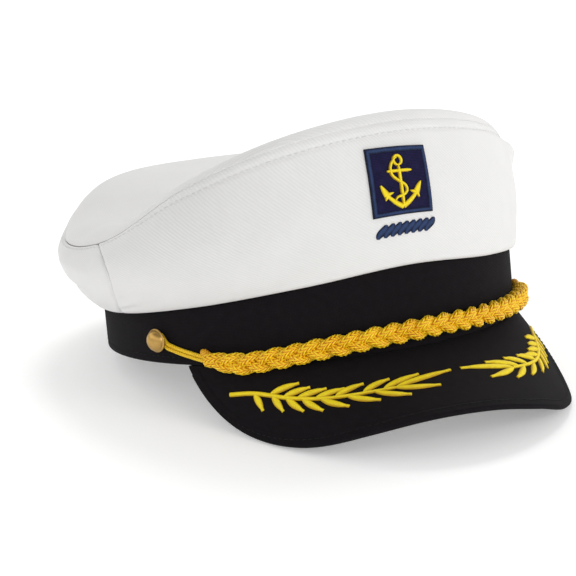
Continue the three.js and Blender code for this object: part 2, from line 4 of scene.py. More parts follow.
import bpy
import numpy as np
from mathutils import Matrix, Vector


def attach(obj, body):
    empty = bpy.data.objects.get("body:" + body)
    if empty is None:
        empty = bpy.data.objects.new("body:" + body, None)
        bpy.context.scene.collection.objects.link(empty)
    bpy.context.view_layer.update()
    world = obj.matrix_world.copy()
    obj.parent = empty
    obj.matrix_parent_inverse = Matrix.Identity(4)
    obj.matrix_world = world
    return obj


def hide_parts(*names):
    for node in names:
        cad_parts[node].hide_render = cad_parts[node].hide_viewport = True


# Captain hat. Everything is worked out in millimetres in the hat's own frame
# (front towards -Y, foot of the band at z = 0), then tilted onto the floor.
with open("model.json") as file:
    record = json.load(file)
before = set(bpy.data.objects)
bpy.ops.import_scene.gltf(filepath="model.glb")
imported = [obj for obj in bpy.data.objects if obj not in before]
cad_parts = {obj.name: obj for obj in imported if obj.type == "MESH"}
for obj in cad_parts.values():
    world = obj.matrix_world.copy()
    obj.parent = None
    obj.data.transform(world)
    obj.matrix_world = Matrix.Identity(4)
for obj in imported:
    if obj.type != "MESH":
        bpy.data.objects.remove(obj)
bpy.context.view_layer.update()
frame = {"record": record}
mm = 0.001

# how the hat stands: its rim's own face says how far it leans
oval = {"halfWidth": 95.5, "halfLength": 97.5, "bandHeight": 41, "bandWall": 3}
rimFace = frame["record"]["mounts"][0]
restTilt = math.atan2(-rimFace["axis"][1], -rimFace["axis"][2])
cosTilt, sinTilt = math.cos(restTilt), math.sin(restTilt)
rearFoot = oval["halfLength"] - oval["bandWall"] / 2
hatShift = np.array(rimFace["pos_m"]) / mm - np.array([0, rearFoot * cosTilt, -rearFoot * sinTilt])
print("frame loaded, the hat leans", round(math.degrees(restTilt), 2), "degrees")


def toFloor(points):
    x, y, z = points[..., 0], points[..., 1], points[..., 2]
    tilted = np.stack([x, y * cosTilt + z * sinTilt, z * cosTilt - y * sinTilt], -1)
    return (tilted + hatShift) * mm


floorUp = np.array([0, -sinTilt, cosTilt])  # straight up from the floor, as the hat sees it


def newObject(name, data):
    thing = bpy.data.objects.new(name, data)
    bpy.context.scene.collection.objects.link(thing)
    return thing


# camera, at the photograph's angle
view = {
    "place": (-791.8, -1187.7, 493.2),
    "target": (-13.0, 10.2, 36.6),
    "lens": 199.9,
}
cameraData = bpy.data.cameras.new("camera")
cameraData.lens = view["lens"]
cameraData.sensor_width = 36
cameraData.clip_start, cameraData.clip_end = 0.05, 60
camera = newObject("camera", cameraData)
camera.location = Vector(view["place"]) * mm
camera.rotation_mode = "QUATERNION"
camera.rotation_quaternion = (Vector(view["target"]) - Vector(view["place"])).to_track_quat("-Z", "Y")
bpy.context.scene.camera = camera


# small tools
def smoothAt(values, at, closed):
    values = np.asarray(values, float)
    at = np.asarray(at, float)
    count = len(values)
    first = np.floor(at)
    if not closed:
        first = np.minimum(first, count - 2)
    share = at - first

    def value(step):
        index = (first + step).astype(int)
        return values[index % count] if closed else values[np.clip(index, 0, count - 1)]

    before, here, after, beyond = value(-1), value(0), value(1), value(2)
    bend = 2 * before - 5 * here + 4 * after - beyond
    twist = 3 * (here - after) + beyond - before
    return here + 0.5 * share * (after - before + share * (bend + share * twist))


def ease(low, high, x):
    t = np.clip((x - low) / (high - low), 0, 1)
    return t * t * (3 - 2 * t)


def nearZero(angle):
    # the same angle in degrees, between -180 and 180
    return (np.asarray(angle, float) + 180) % 360 - 180


def unit(vectors):
    return vectors / np.maximum(np.linalg.norm(vectors, axis=-1, keepdims=True), 1e-9)


def ovalPoint(angle, out, up, shrink=1.0):
    turn = np.radians(angle)
    x = shrink * (oval["halfWidth"] + out) * np.sin(turn)
    y = -shrink * (oval["halfLength"] + out) * np.cos(turn)
    return np.stack(np.broadcast_arrays(x, y, up), -1).astype(float)


def ovalOut(angle):
    return unit(ovalPoint(angle, 1.0, 0.0) - ovalPoint(angle, 0.0, 0.0))


def softNoise(u, v, scale, seed):
    # a slow random swell, made of a few waves in fixed random directions
    waves = np.random.default_rng(seed)
    total = np.zeros(np.broadcast(u, v).shape)
    for _ in range(7):
        heading = waves.uniform(0, math.tau)
        phase = waves.uniform(0, math.tau)
        pace = waves.uniform(0.6, 1.5)
        total += np.sin((u * math.cos(heading) + v * math.sin(heading)) * math.tau * pace / scale + phase)
    return total / 7


class Shape:
    # gathers quads and their cloth coordinates, and makes one object of them
    def __init__(self):
        self.points, self.cloth, self.shade, self.faces, self.corners = [], [], [], [], []
        self.pointCount = self.clothCount = 0

    def loops(self, grid, cloth, shade=None, closedU=False, closedV=False, capEnds=False):
        # grid[u, v] is joined to its neighbours; cloth has one more row or column where it closes
        countU, countV = grid.shape[:2]
        pointIndex = np.arange(countU * countV).reshape(countU, countV) + self.pointCount
        clothIndex = np.arange(cloth.shape[0] * cloth.shape[1]).reshape(cloth.shape[:2]) + self.clothCount
        if closedU:
            pointIndex = np.vstack([pointIndex, pointIndex[:1]])
        if closedV:
            pointIndex = np.hstack([pointIndex, pointIndex[:, :1]])
        for store, index in ((self.faces, pointIndex), (self.corners, clothIndex)):
            quads = np.stack([index[:-1, :-1], index[1:, :-1], index[1:, 1:], index[:-1, 1:]], -1)
            store.extend(quads.reshape(-1, 4).tolist())
            if capEnds:
                store.append(index[0, : countV].tolist())
                store.append(index[-1, : countV][::-1].tolist())
        self.points.append(grid.reshape(-1, 3))
        self.cloth.append(cloth.reshape(-1, 2))
        self.shade.append(np.ones(countU * countV) if shade is None else np.asarray(shade, float).ravel())
        self.pointCount += countU * countV
        self.clothCount += cloth.shape[0] * cloth.shape[1]

    def make(self, name, material, replaced=(), sharp=50):
        points = toFloor(np.concatenate(self.points))
        cloth = np.concatenate(self.cloth)
        mesh = bpy.data.meshes.new(name)
        mesh.from_pydata(points.tolist(), [], self.faces)
        layer = mesh.uv_layers.new(name="cloth")
        order = np.array([c for face in self.corners for c in face])
        layer.data.foreach_set("uv", cloth[order].astype(np.float32).ravel())
        lit = mesh.attributes.new("lit", "FLOAT", "POINT")
        lit.data.foreach_set("value", np.concatenate(self.shade).astype(np.float32))
        mesh.polygons.foreach_set("use_smooth", np.ones(len(self.faces), bool))
        mesh.validate()
        mesh.set_sharp_from_angle(angle=math.radians(sharp))
        mesh.materials.append(material)
        piece = newObject(name, mesh)
        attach(piece, "root")
        if replaced:
            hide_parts(*replaced)
        print(name, len(self.faces), "faces")


def gridNormals(grid, closedU=False):
    alongU = np.gradient(grid, axis=0)
    if closedU:
        alongU = (np.roll(grid, -1, 0) - np.roll(grid, 1, 0)) / 2
    alongV = np.gradient(grid, axis=1)
    return unit(np.cross(alongU, alongV))


def clothShell(shape, outer, wall, clothU, clothV):
    # a cloth wall: the outer face, round its edges, and back along the inner face
    inner = outer - gridNormals(outer) * wall
    loop = np.concatenate([outer, inner[:, ::-1]], 1)
    backV = np.concatenate([clothV, clothV[:, ::-1], clothV[:, :1]], 1)
    backU = np.concatenate([clothU, clothU[:, ::-1], clothU[:, :1]], 1)
    shape.loops(loop, np.stack([backU, backV], -1), closedV=True, capEnds=True)


def lengthAlong(path):
    return np.concatenate([[0], np.cumsum(np.linalg.norm(np.diff(path, axis=0), axis=1))])


def pick(path, run, at):
    # the points of a path at given lengths along it
    return np.stack([np.interp(at, run, path[:, k]) for k in range(path.shape[1])], -1)


def stretch(values, count):
    # a short row of values, spread evenly over more points
    return np.interp(np.linspace(0, 1, count), np.linspace(0, 1, len(values)), values)


def clothGrid(along, around):
    return np.stack(np.broadcast_arrays(along[:, None] * mm, around[None, :] * mm), -1)


def tube(shape, path, outward, radius, sides, shade):
    # path (n, 3), outward (n, 3), radius (n, sides) in millimetres
    ahead = unit(np.gradient(path, axis=0))
    side = unit(np.cross(ahead, outward))
    up = np.cross(side, ahead)
    turn = np.arange(sides) * math.tau / sides
    ring = np.cos(turn)[None, :, None] * side[:, None] + np.sin(turn)[None, :, None] * up[:, None]
    grid = path[:, None] + ring * radius[:, :, None]
    cloth = clothGrid(lengthAlong(path), np.arange(sides + 1) / sides * 6)
    shape.loops(grid, cloth, shade, closedV=True, capEnds=True)


def resample(path, step):
    run = lengthAlong(path)
    at = np.linspace(0, run[-1], max(4, int(run[-1] / step)) + 1)
    return pick(path, run, at), at


# materials
def setInputs(node, values):
    for name, value in values.items():
        node.inputs[name].default_value = value


def newMaterial(name, color, roughness, metallic=0.0, sheen=0.0, specular=0.5):
    material = bpy.data.materials.new(name)
    material.use_nodes = True
    shader = material.node_tree.nodes["Principled BSDF"]
    setInputs(shader, {"Base Color": (*color, 1), "Roughness": roughness, "Metallic": metallic,
                       "Sheen Weight": sheen, "Sheen Roughness": 0.4, "Specular IOR Level": specular})
    return material, material.node_tree, shader


def clothPlace(tree, turn=0.0):
    # the cloth's own coordinates, in metres, turned to the thread's direction
    coordinates = tree.nodes.new("ShaderNodeUVMap")
    coordinates.uv_map = "cloth"
    mapping = tree.nodes.new("ShaderNodeMapping")
    mapping.inputs["Rotation"].default_value = (0, 0, math.radians(turn))
    tree.links.new(coordinates.outputs["UV"], mapping.inputs["Vector"])
    return mapping.outputs["Vector"]


def threadWave(tree, place, threadsPerMetre, wobble=0.6):
    wave = tree.nodes.new("ShaderNodeTexWave")
    wave.wave_type, wave.bands_direction, wave.wave_profile = "BANDS", "X", "SIN"
    setInputs(wave, {"Scale": threadsPerMetre / 20 * math.tau, "Distortion": wobble,
                     "Detail": 1.0, "Detail Scale": 2.0})
    tree.links.new(place, wave.inputs["Vector"])
    return wave.outputs["Fac"]


def noise(tree, place, scale, detail=3.0):
    cloud = tree.nodes.new("ShaderNodeTexNoise")
    setInputs(cloud, {"Scale": scale, "Detail": detail})
    if place is not None:
        tree.links.new(place, cloud.inputs["Vector"])
    return cloud.outputs["Fac"]


def mathNode(tree, kind, a, b):
    node = tree.nodes.new("ShaderNodeMath")
    node.operation = kind
    for socket, value in zip(node.inputs, (a, b)):
        if isinstance(value, (int, float)):
            socket.default_value = value
        else:
            tree.links.new(value, socket)
    return node.outputs[0]


def weighed(tree, *parts):
    # the sum of some values, each times its weight
    total = mathNode(tree, "MULTIPLY", *parts[0])
    return mathNode(tree, "ADD", total, weighed(tree, *parts[1:])) if parts[1:] else total


def litValue(tree):
    node = tree.nodes.new("ShaderNodeAttribute")
    node.attribute_name = "lit"
    return node.outputs["Fac"]


def bump(tree, shader, height, strength, distance):
    node = tree.nodes.new("ShaderNodeBump")
    setInputs(node, {"Strength": strength, "Distance": distance})
    tree.links.new(height, node.inputs["Height"])
    tree.links.new(node.outputs["Normal"], shader.inputs["Normal"])


def colorRamp(tree, shader, factor, stops, socket="Base Color"):
    ramp = tree.nodes.new("ShaderNodeValToRGB")
    first, last = ramp.color_ramp.elements[0], ramp.color_ramp.elements[1]
    first.position, first.color = stops[0][0], (*stops[0][1], 1)
    last.position, last.color = stops[-1][0], (*stops[-1][1], 1)
    for position, color in stops[1:-1]:
        ramp.color_ramp.elements.new(position).color = (*color, 1)
    tree.links.new(factor, ramp.inputs["Fac"])
    tree.links.new(ramp.outputs["Color"], shader.inputs[socket])


def twillCloth(name, light, dark, threadsPerMetre, turn, relief, roughness, sheen):
    # diagonal twill: one set of raised lines, crossed by a finer one
    material, tree, shader = newMaterial(name, light, roughness, sheen=sheen, specular=0.25)
    lines = threadWave(tree, clothPlace(tree, turn), threadsPerMetre)
    cross = threadWave(tree, clothPlace(tree, turn + 75), threadsPerMetre * 1.6, 1.0)
    weave = mathNode(tree, "ADD", lines, mathNode(tree, "MULTIPLY", cross, 0.35))
    slow = noise(tree, clothPlace(tree), 55, 4)
    colorRamp(tree, shader, weighed(tree, (weave, 0.42), (slow, 0.5)), [(0.25, dark), (0.75, light)])
    bump(tree, shader, mathNode(tree, "ADD", weave, mathNode(tree, "MULTIPLY", slow, 0.6)), relief, 0.00025)
    return material


def wovenCloth(name, light, dark, threadsPerMetre, relief, roughness, sheen):
    # plain weave: two sets of threads at right angles
    material, tree, shader = newMaterial(name, light, roughness, sheen=sheen, specular=0.08)
    warp = threadWave(tree, clothPlace(tree), threadsPerMetre, 1.2)
    weft = threadWave(tree, clothPlace(tree, 90), threadsPerMetre, 1.2)
    weave = mathNode(tree, "MULTIPLY", warp, weft)
    slow = noise(tree, clothPlace(tree), 240, 5)
    colorRamp(tree, shader, weighed(tree, (weave, 0.5), (slow, 0.5)), [(0.2, dark), (0.8, light)])
    bump(tree, shader, mathNode(tree, "ADD", weave, slow), relief, 0.00025)
    return material


def stitchedThread(name, deep, bright, roughness, low=0.3, high=0.66):
    # satin stitch: fine threads across the piece, with painted shade where they dip and at the piece's edges
    # and a painted highlight along its crest; deep is the painted shade's colour, bright the painted
    # highlight's
    material, tree, shader = newMaterial(name, bright, roughness, specular=0.24)
    threads = threadWave(tree, clothPlace(tree), 2600, 0.8)
    slow = noise(tree, clothPlace(tree), 300, 3)
    tone = weighed(tree, (litValue(tree), 0.62), (threads, 0.14), (slow, 0.3))
    colorRamp(tree, shader, tone, [(low, deep), (high, bright)])
    bump(tree, shader, threads, 0.5, 0.0002)
    return material


def knittedCord(name, deep, middle, bright, roughness):
    # knitted loops: painted shade (deep) between them, painted highlight (bright) on their crests
    material, tree, shader = newMaterial(name, middle, roughness, specular=0.3)
    fine = threadWave(tree, clothPlace(tree, 30), 2200, 2.0)
    slow = noise(tree, clothPlace(tree), 90, 3)
    tone = weighed(tree, (litValue(tree), 0.7), (fine, 0.12), (slow, 0.25))
    colorRamp(tree, shader, tone, [(0.28, deep), (0.5, middle), (0.74, bright)])
    bump(tree, shader, fine, 0.35, 0.0002)
    return material


def polishedBrass(name):
    material, tree, shader = newMaterial(name, (0.6, 0.38, 0.13), 0.25, metallic=1.0)
    place = tree.nodes.new("ShaderNodeTexCoord").outputs["Object"]
    wear = noise(tree, place, 900, 4)
    colorRamp(tree, shader, wear, [(0.3, (0.5, 0.3, 0.085)), (0.75, (0.56, 0.35, 0.11))])
    rough = tree.nodes.new("ShaderNodeMapRange")
    setInputs(rough, {"To Min": 0.28, "To Max": 0.38})
    tree.links.new(wear, rough.inputs["Value"])
    tree.links.new(rough.outputs["Result"], shader.inputs["Roughness"])
    bump(tree, shader, noise(tree, place, 600, 2), 0.01, 0.0001)
    return material


whiteTwill = twillCloth(
    "white twill", light=(0.812, 0.808, 0.8), dark=(0.762, 0.757, 0.747),
    threadsPerMetre=850, turn=-50, relief=0.22, roughness=0.9, sheen=0.05,
)
blackCloth = wovenCloth(
    "black cloth", light=(0.0125, 0.0104, 0.0125), dark=(0.006, 0.005, 0.006),
    threadsPerMetre=1500, relief=0.45, roughness=0.85, sheen=0.02,
)
blackThread = stitchedThread(
    "black thread", deep=(0.002, 0.002, 0.002), bright=(0.006, 0.0055, 0.006), roughness=0.75,
)
whiteThread = stitchedThread(
    "white thread", deep=(0.5, 0.5, 0.49), bright=(0.74, 0.74, 0.73), roughness=0.7,
)
goldCord = knittedCord(
    "gold cord", deep=(0.36, 0.065, 0.001), middle=(0.97, 0.46, 0.002), bright=(1.0, 0.78, 0.03),
    roughness=0.38,
)
# painted shade: a darker copy of the gold cord, for the strand ends that lie shaded behind the plait
shadedGoldCord = knittedCord(
    "shaded gold cord", deep=(0.3, 0.07, 0.001), middle=(0.75, 0.33, 0.004), bright=(0.95, 0.6, 0.03),
    roughness=0.45,
)
brightCord = knittedCord(
    "bright gold cord", deep=(0.45, 0.15, 0.001), middle=(0.97, 0.55, 0.003), bright=(1.0, 0.8, 0.04),
    roughness=0.38,
)
goldThread = stitchedThread(
    "gold thread", deep=(0.48, 0.24, 0.002), bright=(1.0, 0.79, 0.02), roughness=0.34,
)
navyCloth = wovenCloth(
    "navy cloth", light=(0.024, 0.022, 0.082), dark=(0.008, 0.007, 0.03),
    threadsPerMetre=1500, relief=0.6, roughness=0.8, sheen=0.05,
)
navyThread = stitchedThread(
    "navy thread", deep=(0.0015, 0.0025, 0.014), bright=(0.028, 0.056, 0.158),
    roughness=0.6, low=0.46, high=0.76,
)
brass = polishedBrass("polished brass")
print("materials made")

# crown: side panels from way 0 at the hem to 1 at the top seam, and on to
# 2 at the middle of the top. Rows run every 30 degrees from the back.
crown = {
    "rise": 64, "flare": 22, "turn": -5, "overhang": 3, "hemRoll": 1.4,
    "bellyShare": 0.55, "hemRollShare": 0.045,
    "tipMiddle": 0.42, "tipRollUp": 5, "tipRollIn": 11, "tipFall": 1.8,
    "frontPuff": 0.85, "frontAngle": 10, "frontSpread": 55,
    "hem": [0.5, 0.5, 0.5, 0.52, 0.65, 0.81, 0.92, 0.81, 0.7, 0.59, 0.5, 0.5],
    "bellyOut": [1.0, 1.03, 0.87, 0.63, 0.42, 0.18, 0.05, 0.08, 0.22, 0.6, 0.9, 1.0],
    "bellyUp": [0.34, 0.35, 0.31, 0.31, 0.38, 0.45, 0.475, 0.5, 0.475, 0.28, 0.29, 0.34],
    "seamOut": [0.83, 0.84, 0.72, 0.23, -0.14, -0.19, -0.4, -0.26, 0.01, 0.36, 0.7, 0.83],
    "seamUp": [0.74, 0.72, 0.48, 0.535, 0.84, 0.995, 0.99, 0.98, 0.83, 0.49, 0.49, 0.69],
    "wall": 1.5, "columns": 320,
    # slow swells: height, size, seed; no relief at the foot and the top, and little under the badge
    "swells": [(0.35, 46, 3), (0.22, 21, 5)], "quietFoot": (0.02, 0.12), "quietTop": (0.0, 0.04),
    "flat": 0.75, "flatAngle": 22,
    # the panel seam bows forward, most at two fifths of the way up
    "seamNarrow": 82.3, "seamNarrowAt": 0.4, "seamBow": 32.5,
    "seamDip": 1.0, "seamWidth": 2.2,
    # rough lengths of cloth: round for each degree, at the belly and at the seams, and up the side
    "perDegree": 1.75, "seamPerDegree": 1.9, "foldHeight": 68, "sideHeight": 62,
}

# the row of stitches that runs below the top seam
topStitch = {"down": 3.6, "pull": 0.35, "pullWide": 0.8, "thread": {"long": 2.2, "gap": 1.0, "thick": 0.45}}

# soft folds in the crown: where, how long and wide, how high (below 0 a crease), and which way they run
foldParts = ("angle", "way", "long", "wide", "high", "slant")
crownFolds = [dict(zip(foldParts, row)) for row in (
    (-82, 0.07, 7, 1.1, -0.8, 12), (-80, 0.13, 10, 3.0, 0.7, 14), (-70, 0.25, 26, 8, -0.6, 24),
    (-104, 0.62, 13, 9, 0.9, 0), (-110, 0.3, 22, 5, -1.0, -8), (-93, 0.6, 22, 4, -0.9, 84),
    (-128, 0.42, 22, 7, -1.1, -6), (-140, 0.7, 26, 8, 0.8, 4), (96, 0.3, 16, 5, -0.9, 70),
    (118, 0.5, 24, 8, 0.9, 20), (150, 0.22, 18, 5, -0.9, -15), (175, 0.5, 30, 8, 0.7, 8),
    (40, 0.75, 24, 9, -0.7, -24), (-35, 0.8, 28, 10, -0.5, 20), (64, 0.865, 13, 6, 3.4, 0),
    (60, 0.985, 13, 2.6, -1.8, 0),
)]


def crownRow(name, angle):
    return smoothAt(crown[name], (np.asarray(angle, float) + 180) / 30, True)


def crownBase(angle, way):
    angle, way = np.broadcast_arrays(np.asarray(angle, float), np.asarray(way, float))
    hem = crownRow("hem", angle) * oval["bandHeight"]
    bellyOut = crownRow("bellyOut", angle) * crown["flare"]
    bellyUp = hem + crownRow("bellyUp", angle) * crown["rise"]
    seamOut = crownRow("seamOut", angle) * crown["flare"]
    seamUp = hem + crownRow("seamUp", angle) * crown["rise"]
    # a smooth curve from the hem through the belly to the top seam
    belly, side = crown["bellyShare"], np.minimum(way, 1)
    low = (side - belly) * (side - 1) / belly
    mid = side * (side - 1) / (belly * (belly - 1))
    high = side * (side - belly) / (1 - belly)
    roll = np.clip(1 - side / crown["hemRollShare"], 0, 1)
    tuck = crown["hemRoll"] * (1 - np.sqrt(1 - roll * roll))
    sidePoint = ovalPoint(
        angle + crown["turn"],
        crown["overhang"] * low + bellyOut * mid + seamOut * high - tuck,
        hem * low + bellyUp * mid + seamUp * high,
    )
    middleUp = crown["hem"][6] * oval["bandHeight"] + crown["tipMiddle"] * crown["rise"]
    inward = np.clip(way - 1, 0, 1)
    puffAt = inward * oval["halfLength"] / crown["tipRollIn"]
    tipUp = middleUp + (seamUp - middleUp) * (1 - inward) ** crown["tipFall"]
    front = np.exp(-(((nearZero(angle) - crown["frontAngle"]) / crown["frontSpread"]) ** 2))
    tipUp = tipUp + crown["tipRollUp"] * (1 + crown["frontPuff"] * front) * puffAt * np.exp(1 - puffAt)
    tipPoint = ovalPoint(angle + crown["turn"], seamOut, tipUp, 1 - inward)
    return np.where((way <= 1)[..., None], sidePoint, tipPoint)


def crownRelief(angle, way):
    # folds and slow swells, in millimetres off the plain shape
    angle = nearZero(angle)
    across, up = angle * crown["perDegree"], np.asarray(way, float) * crown["foldHeight"]
    total = sum(high * softNoise(across, up, size, seed) for high, size, seed in crown["swells"])
    for fold in crownFolds:
        away = nearZero(angle - fold["angle"]) * crown["perDegree"]
        rise = up - fold["way"] * crown["foldHeight"]
        slant = math.radians(fold["slant"])
        along = away * math.cos(slant) + rise * math.sin(slant)
        aside = rise * math.cos(slant) - away * math.sin(slant)
        total = total + fold["high"] * np.exp(-((along / fold["long"]) ** 2) - (aside / fold["wide"]) ** 2)
    quiet = ease(*crown["quietFoot"], way) * ease(*crown["quietTop"], 1 - way)
    flatFront = 1 - crown["flat"] * ease(0, 1, 1 - np.abs(angle) / crown["flatAngle"])
    return total * quiet * flatFront


def panelSeam(way):
    return crown["seamNarrow"] + crown["seamBow"] * (way - crown["seamNarrowAt"]) ** 2


def seamDip(gap):
    # how far the cloth turns in beside a seam that lies gap millimetres away
    return crown["seamDip"] * np.clip(1 - gap / crown["seamWidth"], 0, 1) ** 2


def crownSide(angle, way):
    step = 0.2
    base = crownBase(angle, way)
    alongU = crownBase(np.asarray(angle) + step, way) - crownBase(np.asarray(angle) - step, way)
    high = np.clip(way, 0.004, 0.998)
    alongV = crownBase(angle, high + 0.002) - crownBase(angle, high - 0.002)
    normal = unit(np.cross(alongU, alongV))
    toSeam = np.abs(np.abs(nearZero(angle)) - panelSeam(way)) * crown["seamPerDegree"]
    toTop = (1 - np.asarray(way, float)) * crown["sideHeight"]
    lift = crownRelief(angle, way) - seamDip(toSeam) - seamDip(toTop) * 0.8
    # the topstitching pulls the cloth down in a shallow line below the top seam
    lift = lift - topStitch["pull"] * np.exp(-(((toTop - topStitch["down"]) / topStitch["pullWide"]) ** 2))
    return base + normal * lift[..., None], normal


def panelCloth(name, isFront, replaced):
    # rows crowd towards the hem and the top seam
    ways = np.concatenate([np.linspace(0, 0.05, 9), np.linspace(0.05, 0.9, 46), np.linspace(0.9, 0.999, 16)])
    share, way = np.meshgrid(np.linspace(-1, 1, crown["columns"]), np.unique(ways), indexing="ij")
    seam = panelSeam(way) - 0.05
    # columns crowd towards the seams, where the cloth turns in
    share = share + 0.12 * np.sin(math.pi * share)
    angle = share * seam if isFront else 180 + share * (179.9 - seam)
    outer, _ = crownSide(angle, way)
    shape = Shape()
    clothShell(shape, outer, crown["wall"], angle * crown["perDegree"] * mm, way * crown["rise"] * mm)
    shape.make(name, whiteTwill, replaced)


panelCloth("crown_front_cloth", True, ["crown_front_panel"])
panelCloth("crown_back_cloth", False, ["crown_back_panel"])

# crown tip: puffed just inside its seam, sunk in the middle
tip = {"swell": 0.9, "swellSize": 70, "ripple": 0.4, "seamDip": 0.4, "inwards": 97, "middle": 0.0002}


def tipCloth():
    angles = np.arange(400) * 360 / 400 - 180
    inward = np.concatenate([np.linspace(0.0005, 0.03, 8), np.linspace(0.035, 0.3, 26)])
    inward = np.concatenate([inward, np.linspace(0.32, 0.97, 22), [1 - tip["middle"]]])
    angle, way = np.meshgrid(angles, 1 + inward, indexing="ij")
    base = crownBase(angle, way)
    x, y = base[..., 0], base[..., 1]
    away = way - 1
    lift = tip["swell"] * softNoise(x, y, tip["swellSize"], 11) + tip["ripple"] * softNoise(x, y, 30, 12)
    lift = lift * ease(0.02, 0.25, away)
    normal = gridNormals(base, True)
    normal = normal * np.sign(normal[..., 2:3] + 1e-9)
    outer = base + normal * (lift - tip["seamDip"] * seamDip(away * tip["inwards"]))[..., None]
    shape = Shape()
    inner = outer - normal * crown["wall"]
    loop = np.concatenate([outer, inner[:, ::-1]], 1)
    flat = np.stack([x, y], -1) * mm
    cloth = np.concatenate([flat, flat[:, ::-1], flat[:, :1]], 1)
    cloth = np.concatenate([cloth, cloth[:1]], 0)
    shape.loops(loop, cloth, closedU=True, closedV=True)
    shape.make("crown_tip_cloth", whiteTwill, ["crown_tip"])


tipCloth()
print("crown sewn")


# stitches: little threads that dip into the cloth at both ends
def stitchRow(shape, points, normals, thread):
    path, at = resample(np.concatenate([points, normals], 1), 0.2)
    place, up = path[:, :3], unit(path[:, 3:])
    start, thick = 0.0, thread["thick"]
    while start + thread["long"] < at[-1]:
        inside = np.linspace(start, start + thread["long"], 7)
        line, rise = pick(place, at, inside), pick(up, at, inside)
        arch = np.sin(np.linspace(0, math.pi, 7))
        line = line + rise * (arch * thick * 0.55 - thick * 0.15)[:, None]
        radius = np.repeat((thick / 2 * (0.45 + 0.55 * arch ** 0.5))[:, None], 6, 1)
        # each stitch gets a painted highlight where it arches up and painted shade where it dips into the
        # cloth
        tube(shape, line, rise, radius, 6, shade=np.repeat((0.55 + 0.4 * arch)[:, None], 6, 1))
        start += thread["long"] + thread["gap"]


def topStitching():
    shape = Shape()
    angles = np.linspace(-180, 180, 900)
    ways = 1 - topStitch["down"] / crown["sideHeight"] + 0 * angles
    points, normals = crownSide(angles, ways)
    stitchRow(shape, points, normals, topStitch["thread"])
    shape.make("crown_topstitching", whiteThread)


topStitching()

# band: stiff black cloth, turned in at its foot and stitched there
band = {
    "footRound": 1.1, "unevenness": 0.18, "unevenSize": 40, "perDegree": 1.69,  # cloth for each degree round
    "stitchUp": 3.4, "thread": {"long": 2.4, "gap": 0.9, "thick": 0.4},
}


def bandProfile():
    # out from the outer face and up from the foot, once round the wall
    wall, height, r = oval["bandWall"], oval["bandHeight"], band["footRound"]
    outerUp = np.concatenate([np.linspace(r, 8, 12), np.linspace(9, height - r, 24)])
    innerUp = np.linspace(height - r, r, 16)
    turn = np.radians(np.linspace(0, 90, 5))
    profile = [(0, z) for z in outerUp]
    profile += [(-r + r * math.cos(t), height - r + r * math.sin(t)) for t in turn[1:]]
    profile += [(-wall + r - r * math.sin(t), height - r + r * math.cos(t)) for t in turn]
    profile += [(-wall, z) for z in innerUp[1:]]
    profile += [(-wall + r - r * math.cos(t), r - r * math.sin(t)) for t in turn[1:]]
    profile += [(-r + r * math.sin(t), r - r * math.cos(t)) for t in turn[:-1]]
    return np.array(profile)


def bandCloth():
    profile = bandProfile()
    angles = np.arange(360) - 180.0
    angle, out = np.meshgrid(angles, profile[:, 0], indexing="ij")
    _, up = np.meshgrid(angles, profile[:, 1], indexing="ij")
    wave = band["unevenness"] * softNoise(angle * 1.7, up, band["unevenSize"], 21)
    groove = 0.25 * np.exp(-(((up - band["stitchUp"]) / 0.7) ** 2)) * (out > -0.5)
    grid = ovalPoint(angle, out + wave * ease(0, 6, up) - groove, up)
    cloth = clothGrid(np.arange(361) * band["perDegree"], lengthAlong(np.vstack([profile, profile[:1]])))
    shape = Shape()
    shape.loops(grid, cloth, closedU=True, closedV=True)
    shape.make("band_cloth", blackCloth, ["band"])
    stitches = Shape()
    ring = np.linspace(-180, 180, 900)
    stitchRow(stitches, ovalPoint(ring, -0.2, band["stitchUp"]), ovalOut(ring), band["thread"])
    stitches.make("band_stitching", blackThread)


bandCloth()
print("band made")

# visor: stiff, cloth covered, its edge bound with a folded strip
visor = {
    "reach": 52, "clear": 0.02, "halfAngle": 68.7, "wall": 2.4, "corner": 0.45, "shortest": 1.5, "gap": 0.3,
    "reachRow": [0.94, 1.045, 1.025, 0.985, 0.985, 1.025, 1.07, 1.01, 0.7],
    "dropRow": [52, 38.5, 28.5, 24.5, 25.5, 31, 38, 41.5, 36.5],
    "bindingWide": 4.2, "bindingHigh": 0.4, "thread": {"long": 2.2, "gap": 0.9, "thick": 0.4},
}


def visorRow(name, share):
    last = len(visor[name]) - 1
    return smoothAt(visor[name], np.clip((np.asarray(share, float) + 1) / 2 * last, 0, last), False)


def visorLength(share):
    corner = np.maximum(0, 1 - np.asarray(share, float) ** 6) ** visor["corner"]
    return np.maximum(visorRow("reachRow", share) * visor["reach"] * corner, visor["shortest"])


def visorPoint(share, out):
    share, out = np.broadcast_arrays(np.asarray(share, float), np.asarray(out, float))
    drop = np.radians(visorRow("dropRow", share))
    foot = ovalPoint(share * visor["halfAngle"], 0, -visor["gap"])
    ray = np.stack([0 * drop, -np.cos(drop), -np.sin(drop)], -1)
    return foot + ray * (out * visorLength(share))[..., None]


def visorUp(share, out):
    share = np.clip(share, -0.985, 0.985)
    out = np.clip(out, 0.02, 1)
    sideways = visorPoint(share + 0.002, out) - visorPoint(share - 0.002, out)
    outwards = visorPoint(share, out + 0.01) - visorPoint(share, out - 0.01)
    return unit(np.cross(sideways, outwards) * -1)


def onVisor(angle, down):
    share = np.asarray(angle, float) / visor["halfAngle"]
    out = np.asarray(down, float) / visorLength(share)
    return visorPoint(share, out), visorUp(share, out)


